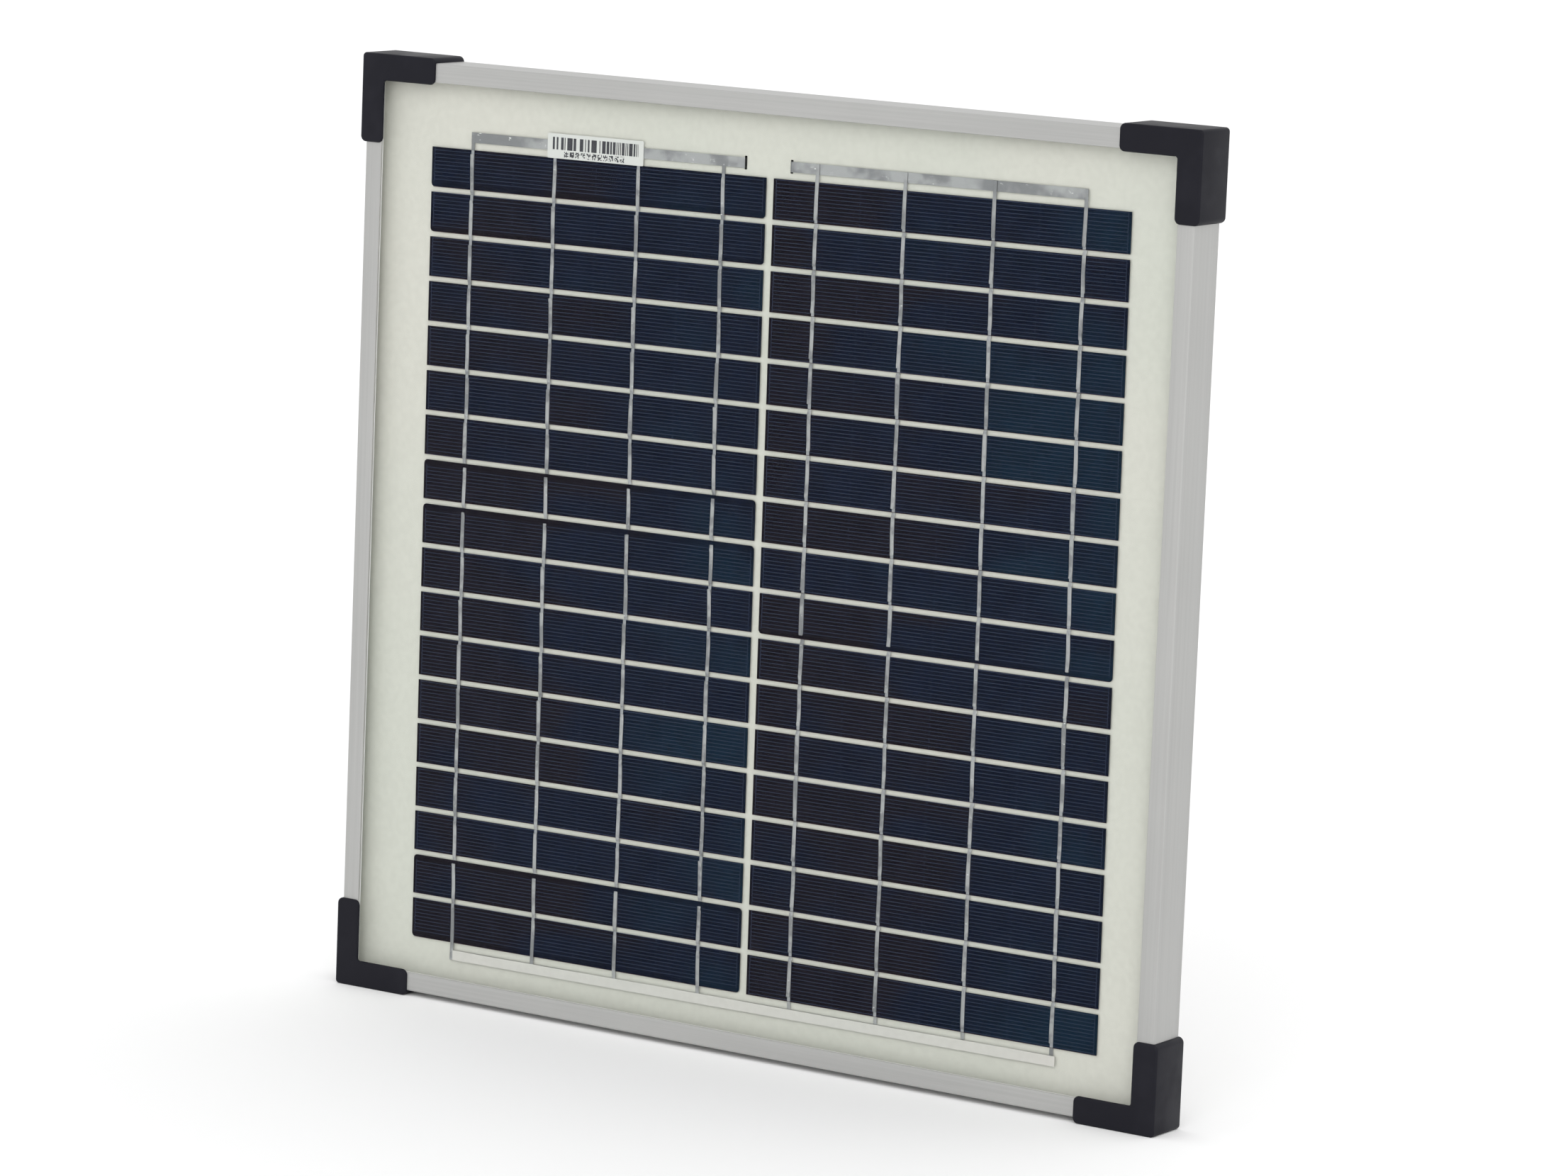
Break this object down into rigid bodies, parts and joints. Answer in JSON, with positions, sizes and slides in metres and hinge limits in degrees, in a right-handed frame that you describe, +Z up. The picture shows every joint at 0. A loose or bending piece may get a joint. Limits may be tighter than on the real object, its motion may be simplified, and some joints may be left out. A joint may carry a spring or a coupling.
{
  "type": "solar panel",
  "caption": "Small framed photovoltaic panel: cut cells in two strings behind glass, aluminium frame with black corner pieces, rear junction box with a hinged lid.",
  "frame": {"origin": "under the middle of the bottom edge, on the surface that the lower corner pieces stand on", "axes": "+X to the right as the glass is seen, +Y from the glass to the back, +Z up"},
  "size_m": [0.379, 0.02, 0.3725],
  "materials": {
    "silicon": "dark blue anti-reflection coating, fine grid of metal fingers",
    "tinned_copper": "tinned, with irregular solder",
    "white_sheet": "matte",
    "label_paper": "matte printed",
    "glass": "polished low-iron",
    "encapsulant": "clear",
    "back_sheet": "matte",
    "seal": "matte",
    "frame_aluminium": "satin anodised",
    "corner_plastic": "fine-grained moulding",
    "box_plastic": "fine-grained moulding",
    "gland_plastic": "smooth moulding",
    "diode": "moulded epoxy"
  },
  "bodies": {
    "panel": {"cell_a01": "silicon", "cell_a02": "silicon", "cell_a03": "silicon", "cell_a04": "silicon", "cell_a05": "silicon", "cell_a06": "silicon", "cell_a07": "silicon", "cell_a08": "silicon", "cell_a09": "silicon", "cell_a10": "silicon", "cell_a11": "silicon", "cell_a12": "silicon", "cell_a13": "silicon", "cell_a14": "silicon", "cell_a15": "silicon", "cell_a16": "silicon", "cell_a17": "silicon", "cell_a18": "silicon", "cell_b01": "silicon", "cell_b02": "silicon", "cell_b03": "silicon", "cell_b04": "silicon", "cell_b05": "silicon", "cell_b06": "silicon", "cell_b07": "silicon", "cell_b08": "silicon", "cell_b09": "silicon", "cell_b10": "silicon", "cell_b11": "silicon", "cell_b12": "silicon", "cell_b13": "silicon", "cell_b14": "silicon", "cell_b15": "silicon", "cell_b16": "silicon", "cell_b17": "silicon", "cell_b18": "silicon", "bus_negative": "tinned_copper", "bus_positive": "tinned_copper", "bus_cross": "tinned_copper", "insulating_strip": "white_sheet", "serial_label": "label_paper", "glass_pane": "glass", "front_encapsulant": "encapsulant", "rear_encapsulant": "encapsulant", "back_sheet": "back_sheet", "edge_seal": "seal", "frame_rail_bottom": "frame_aluminium", "frame_rail_right": "frame_aluminium", "frame_rail_top": "frame_aluminium", "frame_rail_left": "frame_aluminium", "corner_piece_bottom_left": "corner_plastic", "corner_piece_bottom_right": "corner_plastic", "corner_piece_top_right": "corner_plastic", "corner_piece_top_left": "corner_plastic", "junction_box_base": "box_plastic", "cable_gland": "gland_plastic", "terminal_negative": "tinned_copper", "terminal_positive": "tinned_copper", "bypass_diode": "diode"},
    "lid": {"junction_box_lid": "box_plastic"}
  },
  "joints": [
    {"name": "lid_hinge", "type": "hinge", "parent": "panel", "child": "lid", "pos_m": [0.03305, 0.00705, 0.33255], "axis": [0, 0, -1], "range_deg": [0, 110]}
  ]
}
